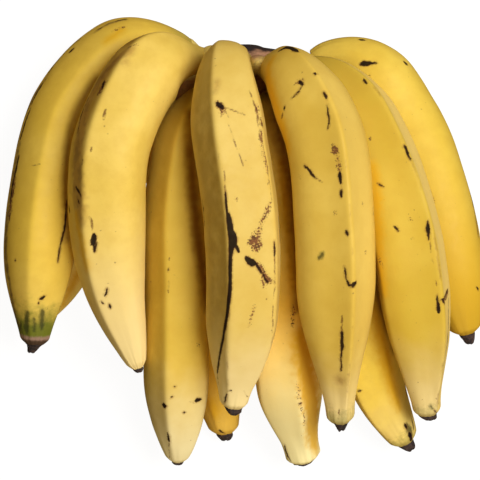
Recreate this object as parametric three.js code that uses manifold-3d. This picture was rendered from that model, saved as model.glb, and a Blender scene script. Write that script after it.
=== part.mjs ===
// A hand of ripe plantains lying on its cut side: a crown, a front row of six fingers that arch over
// a back row of five, and the dried flower remnant at the tip of every finger.
// Millimetres, +Z up, the crown towards +Y and the tips towards -Y. The origin is under the middle
// of the hand, on the surface it rests on.
import * as THREE from "three";
import { mergeVertices } from "three/addons/utils/BufferGeometryUtils.js";
import Module from "manifold-3d";

const wasm = await Module();
wasm.setup();

// Driving dimensions.
const MIDDLE = { x: 5, y: -2 }; // the middle of the hand's footprint, as the spines below are given
const GAP = 0.4; // between pieces that meet
const STALK_RADIUS = 9.5; // the thin stalk that joins each finger to the crown
const STUB_LENGTH = 22; // how much of each stalk belongs to the crown
const SWELL_START = 12; // where a finger begins to widen, measured from its root
const BELLY = 0.05; // how much slimmer a finger is towards both ends of its full part
const TIP_ROUNDING = 5; // length over which the blunt end curves in
const TIP_FLAT = 0.62; // the end face's share of the end radius

// The cross-section: four or five faces that meet in rounded ridges.
const RIDGE_SHARPNESS = 18;
const FULLNESS = 1.03; // the section's mean reach, as a share of the radius
const SIDES = 20;
const RINGS = 20;
const STUB_RINGS = 4;
const CROWDING = 0.45; // how strongly the rings draw together towards both ends, from 0 to 1
const WELD = 1e-3; // vertices closer than this are one

// The crown's pad, a half-ellipse in section, lying on its flat cut face. Its shape is given from
// the back to the front, as [share of the way along, size].
const PAD = { halfWidth: 43, height: 35, front: 85, back: 133, middle: 12 };
const PAD_SIDES = 17;
const PAD_SHAPE = [
  [0, 0.74],
  [0.04, 0.9],
  [0.13, 1.02],
  [0.3, 1.08],
  [0.5, 1.02],
  [0.72, 0.92],
  [0.9, 0.82],
  [0.97, 0.72],
  [1, 0.6],
];

// The dried flower, as [radius, height] from its base: shares of the finger's end radius and of the
// flower's own length.
const FLOWER_SHAPE = [
  [0, 0],
  [0.53, 0],
  [0.62, 0.2],
  [0.4, 0.6],
  [0.18, 0.95],
  [0, 1],
];
const FLOWER_SIDES = 10;

// A finger's spine runs from its root in the crown to its tip. girth is its radius at the belly.
// swell is the length over which the stalk widens to the girth, and stalk is where that begins, if
// later than on the other fingers. taper is the length that narrows to the tip, end is the radius
// there, and neck is over 1 for a bottle neck and under 1 for a rounded end. ridge, in degrees,
// turns the first ridge from the finger's outer curve, edges has each ridge's strength, from 0
// where the skin is round to 1 where flat faces meet, and grow is the length over which the round
// stalk turns angular. flower is the length of what is left of the flower.
const FRONT_ROW = [
  {
    spine: [
      [-24, 115, 20], [-44.5, 130.8, 30], [-77.5, 127.8, 37], [-114.8, 88.9, 47],
      [-128.7, 32.1, 55], [-133.8, -19, 57.5], [-137.6, -69.4, 50],
    ],
    girth: 23.8, swell: 60, taper: 70, neck: 1.5, end: 9.2, flower: 6,
    ridge: 66, edges: [0.45, 0.3, 0.3, 0.3, 0.8], grow: 60,
    colour: 0xd8b84f,
  },
  {
    spine: [
      [-13, 116, 30], [-33.3, 120.3, 57], [-58.3, 111.2, 79], [-82.2, 64.4, 91],
      [-86.2, 17.8, 87], [-82.2, -30.4, 78], [-67.4, -84.4, 69],
    ],
    girth: 24.2, stalk: 26, swell: 48, taper: 108, neck: 1, end: 5.2, flower: 3,
    ridge: 21.4, edges: [0.7, 0.6, 0.4, 0.3, 0.2], grow: 60,
    colour: 0xe2c462,
  },
  {
    spine: [
      [6, 116, 32], [-4, 117, 66], [-9, 111.2, 92], [-6, 70, 108],
      [1.5, 19, 110], [3.2, -38, 102], [-4.3, -108.8, 77.3],
    ],
    girth: 22.8, swell: 95, taper: 70, neck: 1.6, end: 9, flower: 5,
    ridge: -20, edges: [1, 0.7, 0.6, 0.6, 0.85], grow: 100,
    colour: 0xe4ca7a,
  },
  {
    spine: [
      [20, 116, 32], [25, 113, 66], [35, 105, 90], [53, 68, 108],
      [59.5, 11, 111], [62, -53, 99], [66, -118.8, 75.5],
    ],
    girth: 24.4, swell: 80, taper: 100, neck: 2.2, end: 9, flower: 6.5,
    ridge: -9, edges: [1, 0.25, 0.6, 0.5], grow: 120,
    colour: 0xdab850,
  },
  {
    spine: [
      [35, 115, 28], [46, 114, 46], [64.7, 104.4, 59.3], [90, 61.1, 73.9],
      [107, 8, 83.5], [117, -54, 78], [125, -115.4, 56],
    ],
    girth: 23.6, swell: 70, taper: 90, neck: 1.8, end: 9.5, flower: 4.2,
    ridge: -14, edges: [1, 0.3, 0.6, 0.6], grow: 60,
    colour: 0xe0c05a,
  },
  {
    spine: [
      [42, 112, 17], [60, 125.3, 25], [84.8, 119.9, 29], [114, 82.4, 30.5],
      [132.7, 30, 38], [143.6, -18, 38], [154.6, -63.7, 31],
    ],
    girth: 22.6, swell: 60, taper: 60, neck: 0.8, end: 8, flower: 7,
    ridge: 30, edges: [0.4, 0.1, 0.3, 0.4, 0.4], grow: 60,
    colour: 0xe2c252,
  },
];
const BACK_ROW = [
  {
    spine: [
      [-20, 102, 15], [-38, 93, 18], [-59, 74, 20], [-84.8, 41.5, 20],
      [-104, 11.6, 20], [-121.7, -21.1, 20], [-141.5, -55, 20],
    ],
    girth: 17.4, swell: 55, taper: 50, neck: 0.8, end: 7.5, flower: 5,
    ridge: 12, edges: [0.2, 0.4, 0.4, 0.4, 0.8], grow: 60,
    colour: 0xcaa536,
  },
  {
    spine: [
      [-6, 98, 26], [-20.5, 95, 48], [-31, 78.5, 58], [-41, 26.2, 59],
      [-41.5, -33.3, 58], [-42, -94.2, 54.4], [-42.4, -150.2, 32],
    ],
    girth: 21.6, swell: 55, taper: 68, neck: 0.95, end: 6.2, flower: 2.5,
    ridge: 28, edges: [0.85, 0.2, 0.5, 0.5, 0.6], grow: 60,
    colour: 0xcfae50,
  },
  {
    spine: [
      [5, 98, 18], [0, 84, 32], [-3, 61, 31], [-9, 14, 26],
      [-12, -41, 24], [-16.2, -89, 21.4], [-10.6, -133.4, 14],
    ],
    girth: 20, swell: 60, taper: 74, neck: 0.9, end: 8.8, flower: 5,
    ridge: 0, edges: [0.6, 0.6, 0.6, 0.6, 0.6], grow: 60,
    colour: 0xc9982e,
  },
  {
    spine: [
      [20, 98, 26], [20, 85, 50], [23, 63, 60], [28, 13, 67.2],
      [30.3, -39.8, 63.9], [31.9, -96.1, 52], [43.5, -149.5, 30],
    ],
    girth: 21.6, swell: 60, taper: 60, neck: 3.1, end: 11.8, flower: 1.5,
    ridge: 14, edges: [0.9, 0.6, 0.6, 0.6, 0.6], grow: 60,
    colour: 0xdcb04a,
  },
  {
    spine: [
      [36, 100, 16], [52, 84, 25], [64.2, 57.2, 28], [74.6, 5, 36],
      [82.2, -47.5, 40], [93.1, -99, 34], [113.5, -138.8, 25],
    ],
    girth: 20.6, swell: 60, taper: 84, neck: 0.9, end: 8.5, flower: 6,
    ridge: 20, edges: [0.6, 0.9, 0.6, 0.6, 0.6], grow: 60,
    colour: 0xdaac3c,
  },
];

function matt(color, roughness) {
  return new THREE.MeshStandardMaterial({ color, roughness, metalness: 0 });
}

function smooth(t) {
  const x = THREE.MathUtils.clamp(t, 0, 1);
  return x * x * (3 - 2 * x);
}

function mean(values) {
  return values.reduce((sum, value) => sum + value, 0) / values.length;
}

// A finger's curve, its length, and the direction square to the plane that it bends in.
function lineOf(finger) {
  const points = finger.spine.map((p) => new THREE.Vector3(...p));
  const curve = new THREE.CatmullRomCurve3(points);
  const [root, middle, tip] = [points[1], points[3], points[6]];
  const across = middle.clone().sub(root).cross(tip.clone().sub(middle)).normalize();
  return { curve, length: curve.getLength(), across };
}

// How much of a change has happened at a distance, from 0 to 1, if it takes the given length.
function grown(distance, length, start = SWELL_START) {
  return smooth((distance - start) / length);
}

// The radius at a distance along the spine, before the ridges.
function radiusAt(finger, distance, length) {
  const fromMiddle = (2 * distance) / length - 1;
  const full = finger.girth * (1 - BELLY * fromMiddle * fromMiddle);
  const body = STALK_RADIUS + (full - STALK_RADIUS) * grown(distance, finger.swell, finger.stalk);
  const left = length - distance;
  const narrowing = 1 - THREE.MathUtils.clamp(left / finger.taper, 0, 1);
  const share = (1 - narrowing * narrowing) ** finger.neck;
  const rounded = Math.sin((Math.PI / 2) * Math.min(1, left / TIP_ROUNDING));
  return (finger.end + (body - finger.end) * share) * (TIP_FLAT + (1 - TIP_FLAT) * rounded);
}

// How far each side's edge lies out from the spine, as a share of the radius.
function section({ edges }) {
  const faces = edges.length;
  const angles = Array.from({ length: SIDES }, (_, i) => (2 * Math.PI * i) / SIDES);
  const flats = angles.map((angle) => {
    let sum = 0;
    for (let i = 0; i < faces; i++) {
      const fromFace = angle - ((i + 0.5) * 2 * Math.PI) / faces;
      sum += Math.max(0, Math.cos(fromFace)) ** RIDGE_SHARPNESS;
    }
    return sum ** (-1 / RIDGE_SHARPNESS);
  });
  const shaped = flats.map((flat, i) => {
    const place = (i * faces) / SIDES;
    const [before, after] = [edges[Math.floor(place)], edges[Math.ceil(place) % faces]];
    const strength = before + (after - before) * smooth(place % 1);
    return 1 + strength * (flat / mean(flats) - 1);
  });
  return shaped.map((reach) => (FULLNESS * reach) / mean(shaped));
}

// One ring of the skin. The stalk is round, and the ridges come in as the finger grows out of it.
function ringAt(finger, { curve, length, across }, distance) {
  const centre = curve.getPointAt(distance / length);
  const tangent = curve.getTangentAt(distance / length);
  const side = across.clone().addScaledVector(tangent, -across.dot(tangent)).normalize();
  const outer = new THREE.Vector3().crossVectors(tangent, side);
  const radius = radiusAt(finger, distance, length);
  return section(finger).map((ridged, i) => {
    const angle = (2 * Math.PI * i) / SIDES - THREE.MathUtils.degToRad(finger.ridge);
    const reach = radius * (1 + (ridged - 1) * grown(distance, finger.grow));
    return centre
      .clone()
      .addScaledVector(outer, reach * Math.cos(angle))
      .addScaledVector(side, -reach * Math.sin(angle));
  });
}

// A closed skin over a row of rings, with a flat cap at each end.
function skin(rings) {
  const sides = rings[0].length;
  const points = rings.flat();
  const faces = [];
  for (let r = 0; r + 1 < rings.length; r++) {
    for (let i = 0; i < sides; i++) {
      const here = r * sides + i;
      const beside = r * sides + ((i + 1) % sides);
      faces.push(here, beside, here + sides, beside, beside + sides, here + sides);
    }
  }
  const last = (rings.length - 1) * sides;
  for (const [ring, first, turned] of [[rings[0], 0, true], [rings.at(-1), last, false]]) {
    const middle = points.length;
    points.push(ring.reduce((sum, p) => sum.add(p), new THREE.Vector3()).divideScalar(sides));
    for (let i = 0; i < sides; i++) {
      const edge = [first + i, first + ((i + 1) % sides)];
      faces.push(middle, ...(turned ? edge.reverse() : edge));
    }
  }
  const geometry = new THREE.BufferGeometry().setFromPoints(points);
  geometry.setIndex(faces);
  geometry.computeVertexNormals();
  return geometry;
}

// Distances for the rings, closer together near both ends, where the shape changes fastest.
function stations(from, to, count) {
  return Array.from({ length: count }, (_, i) => {
    const t = i / (count - 1);
    const crowded = (1 - Math.cos(Math.PI * t)) / 2;
    return from + (to - from) * (t + CROWDING * (crowded - t));
  });
}

// The skin of one finger between two distances along its spine.
function stretch(finger, from, to, count) {
  const line = lineOf(finger);
  const distances = stations(from, Math.min(to, line.length), count);
  return skin(distances.map((distance) => ringAt(finger, line, distance)));
}

function fingerMesh(finger, name) {
  const geometry = stretch(finger, STUB_LENGTH + GAP, Infinity, RINGS);
  const mesh = new THREE.Mesh(geometry, matt(finger.colour, 0.5));
  mesh.name = name;
  return mesh;
}

// What is left of the flower flares a little from its base, then shrivels to a point.
function flowerMesh(finger, name) {
  const { curve } = lineOf(finger);
  const tangent = curve.getTangentAt(1);
  const profile = FLOWER_SHAPE.map(
    ([radius, height]) => new THREE.Vector2(radius * finger.end, height * finger.flower),
  );
  const mesh = new THREE.Mesh(new THREE.LatheGeometry(profile, FLOWER_SIDES), matt(0x2b2224, 0.9));
  mesh.name = name;
  mesh.position.copy(curve.getPointAt(1)).addScaledVector(tangent, GAP);
  mesh.quaternion.setFromUnitVectors(new THREE.Vector3(0, 1, 0), tangent);
  return mesh;
}

function solidOf(geometry) {
  const bare = geometry.clone();
  bare.deleteAttribute("normal");
  const merged = mergeVertices(bare, WELD);
  return new wasm.Manifold(
    new wasm.Mesh({
      numProp: 3,
      vertProperties: new Float32Array(merged.attributes.position.array),
      triVerts: new Uint32Array(merged.index.array),
    }),
  );
}

function geometryOf(solid) {
  const mesh = solid.getMesh();
  const geometry = new THREE.BufferGeometry();
  geometry.setAttribute("position", new THREE.BufferAttribute(mesh.vertProperties, 3));
  geometry.setIndex(new THREE.BufferAttribute(mesh.triVerts, 1));
  geometry.computeVertexNormals();
  return geometry;
}

// Half-ellipses standing on the ground, one behind another.
function padGeometry() {
  const { halfWidth, height, front, back, middle } = PAD;
  const rings = PAD_SHAPE.map(([along, size]) => {
    const y = back + (front - back) * along;
    const arc = Array.from({ length: PAD_SIDES }, (_, i) => (Math.PI * i) / (PAD_SIDES - 1));
    return arc.map((angle) => {
      const x = middle + size * halfWidth * Math.cos(angle);
      return new THREE.Vector3(x, y, size * height * Math.sin(angle));
    });
  });
  return skin(rings);
}

// The crown is the pad with the roots of all the fingers' stalks grown into it.
function crownMesh(fingers) {
  const stubs = fingers.map((finger) => solidOf(stretch(finger, 0, STUB_LENGTH, STUB_RINGS)));
  const whole = stubs.reduce((crown, stub) => crown.add(stub), solidOf(padGeometry()));
  const mesh = new THREE.Mesh(geometryOf(whole), matt(0x8a7a45, 0.8));
  mesh.name = "crown";
  return mesh;
}

function rowOf(fingers, name) {
  const group = new THREE.Group();
  fingers.forEach((finger, i) => {
    group.add(fingerMesh(finger, `${name}_finger_${i + 1}`));
    group.add(flowerMesh(finger, `${name}_flower_tip_${i + 1}`));
  });
  return group;
}

const hand = new THREE.Group();
hand.position.set(-MIDDLE.x, -MIDDLE.y, 0);
hand.add(crownMesh([...FRONT_ROW, ...BACK_ROW]));
hand.add(rowOf(FRONT_ROW, "front"));
hand.add(rowOf(BACK_ROW, "back"));

export default hand;
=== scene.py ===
"""A hand of ripe plantains: the visual model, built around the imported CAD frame."""
import itertools
import math

import bmesh
import bpy
import numpy as np
from mathutils import Matrix, Vector


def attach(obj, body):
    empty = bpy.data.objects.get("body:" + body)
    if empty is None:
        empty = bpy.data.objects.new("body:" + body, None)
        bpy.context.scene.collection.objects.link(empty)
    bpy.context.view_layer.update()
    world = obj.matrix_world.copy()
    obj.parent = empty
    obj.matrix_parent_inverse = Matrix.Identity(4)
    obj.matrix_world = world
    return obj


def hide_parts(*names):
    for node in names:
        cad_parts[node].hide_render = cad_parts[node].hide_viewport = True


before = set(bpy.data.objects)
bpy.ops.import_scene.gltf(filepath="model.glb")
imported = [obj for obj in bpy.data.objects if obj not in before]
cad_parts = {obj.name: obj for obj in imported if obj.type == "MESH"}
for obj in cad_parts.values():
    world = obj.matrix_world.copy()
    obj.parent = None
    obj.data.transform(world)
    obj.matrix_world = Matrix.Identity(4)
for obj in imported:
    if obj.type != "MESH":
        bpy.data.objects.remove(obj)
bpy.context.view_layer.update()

# Lengths are in millimetres and angles in radians, unless a comment says otherwise.
MM = 0.001
MIDDLE = np.array([5.0, -2.0, 0.0])  # the row frame's origin, in the coordinates of the spines below

# What the CAD says of every finger.
STALK_RADIUS = 9.5
STUB_LENGTH = 22.0
SWELL_START = 12.0
BELLY = 0.05
TIP_ROUNDING = 5.0
TIP_FLAT = 0.62
RIDGE_SHARPNESS = 18
MEAN_REACH = 1.03  # the CAD section's mean reach, as a share of its radius
SPLINE_POINTS = 1200
SECTION_POINTS = 721

# A finger's mesh.
OVERLAP = 5.0  # how far its skin reaches into its stub on the crown
RING_CROWDING = 0.35  # how much closer its rings lie near its ends
CROWDING = 0.42  # how much closer its lengthwise edges lie on the half that faces up
HALF_STEP = 0.5  # from a ring to each of the two points that give the spine's direction
SOFT_TIP = 30.0  # the ridges soften over this length
TIP_EDGES = 0.4  # what is left of them at the tip, as a share
CAP_BULGE = 0.15
UV_MARGIN = 0.02  # what each end cap takes of the peel's map, as a share

# The skin's relief. Ribs are noise on a cylinder of radius RIB_SPREAD, RIB_LENGTH mm to a unit.
LUMPS = ((34, 0.45), (11, 0.16))  # (size, height)
SMOOTH_TIP = 12.0  # the lumps fade out over this length
TIP_RIBS = dict(height=0.45, run=16)
STALK_RIBS = dict(height=0.4, run=22)
RIB_SPREAD = 5
RIB_LENGTH = 30
RIB_SIZE = 0.9

# Where the peel's colours meet the ridges.
WEAK_RIDGE = 6.0  # how much further off a ridge of no strength counts
NO_RIDGE = 30.0  # the same where a finger is round, on its stalk and at its ends
FACE_EDGE = 0.14  # the angle over which a face's colour begins at a full ridge
WEAK_FACE_EDGE = 0.5  # what is added at a ridge of no strength
FAR_FACE_EDGE = 0.5  # the angle over which it ends at the next ridge

# The camera that the pixel positions of the marks below belong to.
EYE_HEIGHT = 1200.0  # mm above the surface that the hand lies on
MM_PER_PIXEL = 0.70  # at that surface
PHOTO_MIDDLE = 240.0
SENSOR = 36.0

# Marks.
KINDS = ("ink", "rust", "stain", "scratch", "bruise", "painted_edge_shade", "painted_warm_shade", "painted_gap_shade")
MARK_REACH = 12.0  # mm from a mark beyond which its attribute says no more
MARK_ENDS = 0.5  # the width of a mark's ends, as a share
THIN_MARK = 1.9  # pixels: ink marks narrower than this are brown scratches
EVEN_WIDTH = 2.2  # narrower marks are the same width all along
UNEVENNESS = 0.35  # of the others' widths, as a share
UNEVEN_SIZE = 2.6
WANDERS = ((4.5, 0.4, 0), (1.7, 0.3, 5))  # (size, height, first seed) of a mark's bends
SKIN_SCALE = 0.93  # the size of a pixel on the skin, as a share of its size on the surface
LEAST_FACING = 0.02  # how far up the skin must face to be in the photograph, from 0 to 1
SPOT_REACH = 1.5  # square pixels: skin this near to a mark's point may carry it
HEIGHT_PER_PIXEL = 3.0  # how much higher such skin has to be, to be taken a pixel further off
STRAY = dict(
    tries=46, after_root=12, before_tip=30, most_upward=0.05, lengths=(0, 0, 3, 6, 14), lean=3,
    kinds=("ink", "ink", "rust"), widths=(0.9, 1.2, 1.8, 2.6),
)  # on each finger. Places, lengths and lean are in the mesh's rings and sides.
TINY = 1e-6

# Lattice noise: large odd numbers that scramble a cell's place.
CELL_STEPS = (374761393, 668265263, 2147483647)
SEED_STEP = 1274126177
SCRAMBLE = ((13, 1103515245), (16, 69069))
LOW_BITS = 0x7FFFFFFF
LEVELS = 65521

# The dried flowers. Widths are shares of the finger's end.
NUB = dict(
    sides=72, rings=11, collar_depths=(-1.6, -0.5), collar=0.62, collar_slope=0.07, point=0.27,
    flare=0.38, blunt=0.72, ragged=0.16, hollow=0.03,
)
CRINKLES = ((1.9, 0.3, 0.08, 0.10, 0), (5, 0.6, 0.04, 0.04, 5))  # (fineness, climb, depth, more, seed)
TIP_POINTS = 12  # of the spine, that give a flower's direction
NOT_ALONG = (0.3, 0.2, 1.0)  # a direction that no flower has

# The crown.
BACK_EDGE = dict(lift=1.5, drop=4.5, x=8, y=116, run=16)  # the drop is on its right half
CROWN_VOXEL = 1.3
CROWN_SMOOTHING = 14
# Webs of tissue between stalks: (middle, half sizes) in mm, in the spines' coordinates.
WEBS = [
    ((12.5, 117, 58), (8, 6, 20)),
    ((-31, 101, 30), (15, 12, 13)),
    ((-19, 121, 50), (9, 8.5, 14)),
    ((33, 107, 48), (8, 8, 14)),
]

# Floor and light, in metres and watts.
FLOOR_REACH = 4.0
LIT_POINT = (0, 0, 0.05)
LAMPS = {  # name: (position, size, power, colour)
    "key": ((0.62, 0.24, 1.39), 0.95, 22.0, (1, 1, 1)),
    "front_fill": ((0.28, -1.12, 0.5), 0.8, 4.0, (1, 0.86, 0.62)),
    "back_fill": ((-0.3, 1.1, 0.6), 0.8, 2.0, (1, 0.86, 0.62)),
}
SURROUND_COLOUR = (1, 0.76, 0.36, 1)
SURROUND_STRENGTH = 0.16


# ----------------------------------------
# The fingers' spines and sizes, in millimetres, as the CAD has them.
FRONT = [
    dict(
        spine=[
            (-24, 115, 20), (-44.5, 130.8, 30), (-77.5, 127.8, 37), (-114.8, 88.9, 47),
            (-128.7, 32.1, 55), (-133.8, -19, 57.5), (-137.6, -69.4, 50),
        ],
        girth=23.8, swell=60, taper=70, neck=1.5, end=9.2,
        ridge=66, edges=(0.45, 0.3, 0.3, 0.3, 0.8), grow=60, flower=6, lean=-2.5, cone=1.3,
    ),
    dict(
        spine=[
            (-13, 116, 30), (-33.3, 120.3, 57), (-58.3, 111.2, 79), (-82.2, 64.4, 91),
            (-86.2, 17.8, 87), (-82.2, -30.4, 78), (-67.4, -84.4, 69),
        ],
        girth=24.2, stalk=26, swell=48, taper=108, neck=1.0, end=5.2,
        ridge=21.4, edges=(0.7, 0.6, 0.4, 0.3, 0.2), grow=60, flower=3, lean=0.5, cone=0.6,
    ),
    dict(
        spine=[
            (6, 116, 32), (-4, 117, 66), (-9, 111.2, 92), (-6, 70, 108),
            (1.5, 19, 110), (3.2, -38, 102), (-4.3, -108.8, 77.3),
        ],
        girth=22.8, swell=95, taper=70, neck=1.6, end=9,
        ridge=-20, edges=(1.0, 0.7, 0.6, 0.6, 0.85), grow=100, flower=5, lean=0.0, cone=0.5,
    ),
    dict(
        spine=[
            (20, 116, 32), (25, 113, 66), (35, 105, 90), (53, 68, 108),
            (59.5, 11, 111), (62, -53, 99), (66, -118.8, 75.5),
        ],
        girth=24.4, swell=80, taper=100, neck=2.2, end=9,
        ridge=-9, edges=(1.0, 0.25, 0.6, 0.5), grow=120, flower=6.5, lean=0.0, cone=1.3,
    ),
    dict(
        spine=[
            (35, 115, 28), (46, 114, 46), (64.7, 104.4, 59.3), (90, 61.1, 73.9),
            (107, 8, 83.5), (117, -54, 78), (125, -115.4, 56),
        ],
        girth=23.6, swell=70, taper=90, neck=1.8, end=9.5,
        ridge=-14, edges=(1, 0.3, 0.6, 0.6), grow=60, flower=4.2, lean=1.5, cone=0.5,
    ),
    dict(
        spine=[
            (42, 112, 17), (60, 125.3, 25), (84.8, 119.9, 29), (114, 82.4, 30.5),
            (132.7, 30, 38), (143.6, -18, 38), (154.6, -63.7, 31),
        ],
        girth=22.6, swell=60, taper=60, neck=0.8, end=8,
        ridge=30, edges=(0.4, 0.1, 0.3, 0.4, 0.4), grow=60, flower=7, lean=1.0, cone=0.8,
    ),
]
BACK = [
    dict(
        spine=[
            (-20, 102, 15), (-38, 93, 18), (-59, 74, 20), (-84.8, 41.5, 20),
            (-104, 11.6, 20), (-121.7, -21.1, 20), (-141.5, -55, 20),
        ],
        girth=17.4, swell=55, taper=50, neck=0.8, end=7.5,
        ridge=12, edges=(0.2, 0.4, 0.4, 0.4, 0.8), grow=60, flower=5, lean=0.0, cone=0.8,
    ),
    dict(
        spine=[
            (-6, 98, 26), (-20.5, 95, 48), (-31, 78.5, 58), (-41, 26.2, 59),
            (-41.5, -33.3, 58), (-42, -94.2, 54.4), (-42.4, -150.2, 32),
        ],
        girth=21.6, swell=55, taper=68, neck=0.95, end=6.2,
        ridge=28, edges=(0.85, 0.2, 0.5, 0.5, 0.6), grow=60, flower=2.5, lean=0.0, cone=0.5,
    ),
    dict(
        spine=[
            (5, 98, 18), (0, 84, 32), (-3, 61, 31), (-9, 14, 26),
            (-12, -41, 24), (-16.2, -89, 21.4), (-10.6, -133.4, 14),
        ],
        girth=20, swell=60, taper=74, neck=0.9, end=8.8,
        ridge=0, edges=(0.6, 0.6, 0.6, 0.6, 0.6), grow=60, flower=5, lean=0.5, cone=0.6,
    ),
    dict(
        spine=[
            (20, 98, 26), (20, 85, 50), (23, 63, 60), (28, 13, 67.2),
            (30.3, -39.8, 63.9), (31.9, -96.1, 52), (43.5, -149.5, 30),
        ],
        girth=21.6, swell=60, taper=60, neck=3.1, end=11.8,
        ridge=14, edges=(0.9, 0.6, 0.6, 0.6, 0.6), grow=60, flower=1.5, lean=0.0, cone=0.3,
    ),
    dict(
        spine=[
            (36, 100, 16), (52, 84, 25), (64.2, 57.2, 28), (74.6, 5, 36),
            (82.2, -47.5, 40), (93.1, -99, 34), (113.5, -138.8, 25),
        ],
        girth=20.6, swell=60, taper=84, neck=0.9, end=8.5,
        ridge=20, edges=(0.6, 0.9, 0.6, 0.6, 0.6), grow=60, flower=6, lean=1.5, cone=0.8,
    ),
]
ROWS = (  # (name, fingers, first seed, (rings, sides) of the mesh)
    ("front", FRONT, 7, (270, 200)),
    ("back", BACK, 57, (200, 120)),
)
SEED_PER_FINGER = 100

# Marks on the peel, given in the photograph's pixels: (width, point, point ...). Ink is near
# black, and a band is ink with straight, solid edges. Rust is red-brown and scabby, a scratch is
# thin and brown, a bruise is dark green, and a brown band along a silhouette is painted shade.
# Stain is soft brown under the skin. A soft deep yellow is painted warm shade where fingers shade
# each other, and a soft dark brown is the painted shade between two fingers.
MARKS = {}
MARKS["front_1"] = dict(
    ink=[
        (3.4, (10, 205), (12, 188), (15, 172), (19, 155)), (3.0, (20, 140), (25, 122), (30, 108)),
        (3.0, (31, 104), (36, 93), (43, 82)), (3.5, (69, 53), (73, 49)), (2.0, (97, 30), (102, 27)),
        (2.4, (116, 21), (127, 19)), (2.4, (15, 261)), (4.0, (40, 300), (45, 296)), (2.4, (39, 303)),
        (2.3, (67, 200), (66, 214), (64, 230), (60, 248), (58, 262)),
    ],
    painted_edge_shade=[
        (9.0, (9, 280), (6, 262), (5.5, 240), (8, 212), (12, 184), (15, 165), (19, 144)),
        (6.0, (17, 144), (22, 122), (30, 102), (42, 82)), (5.0, (9, 280), (12, 300), (16, 318), (21, 331)),
        (4.0, (95, 32), (110, 23), (126, 19)), (4.0, (44, 80), (54, 65), (66, 50), (80, 38)),
    ],
    rust=[(5.0, (15, 175), (12, 195), (9, 220)), (2.2, (112, 31), (118, 29), (126, 26))],
    painted_warm_shade=[(5.0, (106, 41), (114, 36), (122, 30))],
    painted_gap_shade=[(0.8, (96, 79), (87, 92), (78, 108), (71, 126), (67, 150), (65, 178), (65, 205))],
    scratch=[(1.4, (32, 165), (40, 164))],
    bruise=[
        (6.0, (27, 312), (26, 322), (26.5, 334)), (5.4, (42, 310), (42, 320), (42, 329)),
        (2.4, (34, 318), (34, 332)), (2.6, (21, 322), (20, 330)),
    ],
    stain=[(7.0, (69, 205), (68, 222), (67, 240))],
)
MARKS["front_2"] = dict(
    ink=[
        (4.4, (104, 80), (102, 87)), (2.6, (87, 97), (85, 101)), (2.8, (82, 108), (79, 120)),
        (2.4, (79, 124), (77, 132)), (3.6, (76, 187), (81, 196)), (2.6, (77, 200), (79, 204)),
        (5.4, (94, 234), (94, 245)), (2.6, (95, 246), (95, 253)), (2.2, (97, 241), (96, 249)),
        (1.9, (91, 238), (92, 246)), (2.2, (107, 288), (105, 296)), (3.2, (109, 305), (110, 308)),
        (2.0, (101, 302), (103, 304)),
    ],
    rust=[(9.0, (105, 82), (98, 94)), (4.0, (88, 98), (82, 110), (79, 122)), (2.4, (128, 48), (138, 44))],
    stain=[
        (16.0, (130, 50), (112, 64), (97, 84), (84, 110), (78, 140), (76, 170)),
        (22.0, (86, 110), (79, 140), (77, 170), (77, 200), (79, 222)), (4.0, (126, 62)),
    ],
    painted_warm_shade=[(8.0, (76, 215), (80, 240), (86, 270))],
    scratch=[
        (3.0, (106, 110), (103, 120)), (1.3, (127, 109)), (1.5, (104, 127)), (1.4, (108, 134)),
        (1.8, (92, 146), (91, 152)), (1.8, (83, 158), (82, 164)), (1.6, (81, 178)),
        (2.2, (89, 216), (92, 221), (92, 231)), (1.5, (108, 284)), (1.4, (115, 263)), (1.4, (96, 265)),
    ],
)
MARKS["front_3"] = dict(
    ink=[
        (5.2, (216, 102), (219, 104), (223, 108)), (2.2, (274.5, 241), (275, 256)),
        (7.2, (246, 259), (250, 261), (255, 263)), (3.2, (254, 262), (258, 267), (262, 273)),
        (2.6, (264, 278), (269, 284)), (2.4, (263, 274), (265, 278)), (1.6, (267, 300)), (1.5, (272, 331)),
        (2.2, (229, 391), (232, 391)), (2.0, (227, 394), (225, 400), (224, 408)),
        (1.6, (244, 391), (247, 397)),
    ],
    rust=[
        (6.0, (217, 103), (223, 112)), (2.4, (256, 104), (258, 114)), (2.6, (260, 118), (263, 126)),
        (2.4, (261, 129), (262, 145)), (2.0, (263, 150), (267, 172)), (2.2, (236, 198)),
        (4.0, (270, 203), (266, 213), (261, 226)), (12.0, (253, 236), (256, 249)),
        (6.0, (259, 228), (257, 240)), (6.0, (257, 263), (264, 274), (271, 284)),
        (3.0, (263, 280), (264, 287)), (1.2, (255, 306), (251, 318), (249, 326)),
    ],
    scratch=[
        (1.6, (221, 106), (232, 110), (240, 113), (245, 114)), (1.5, (222, 109), (221, 117)),
        (1.4, (225, 110), (229, 117)), (1.2, (228, 124), (233, 137), (237, 149)),
        (1.5, (239, 154), (243, 165)), (1.6, (249, 90), (254, 101), (258, 116), (261, 128)),
        (2.8, (256, 107), (258, 119)), (2.8, (261, 120), (263, 129)), (2.8, (260, 130), (261, 141)),
        (1.3, (252, 98), (257, 118), (260, 134)), (1.2, (262, 140), (267, 165), (270, 185), (272, 200)),
        (1.6, (274, 240), (275, 262), (274.5, 285), (273, 298)), (1.2, (273, 305), (273, 325), (272, 345)),
        (1.5, (215, 59)), (1.5, (215, 66)), (1.6, (268, 183)), (1.6, (224, 170), (225, 184), (226, 200)),
        (1.3, (217, 371), (217, 385)),
    ],
    stain=[(2.0, (217, 80), (216, 92))],
    band=[
        (2.6, (225, 192), (226, 204), (228, 220)), (6.5, (228, 214), (230, 226), (232, 240), (231, 254)),
        (7.4, (233, 232), (234, 246)), (3.6, (236, 245), (239, 252)),
        (4.2, (231, 250), (230.5, 264), (230, 280)), (4.6, (230, 272), (230, 290), (227, 312), (225, 330)),
        (3.8, (227, 312), (223, 338), (219, 360)), (2.8, (220, 352), (218, 364), (217, 373)),
    ],
)
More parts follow.
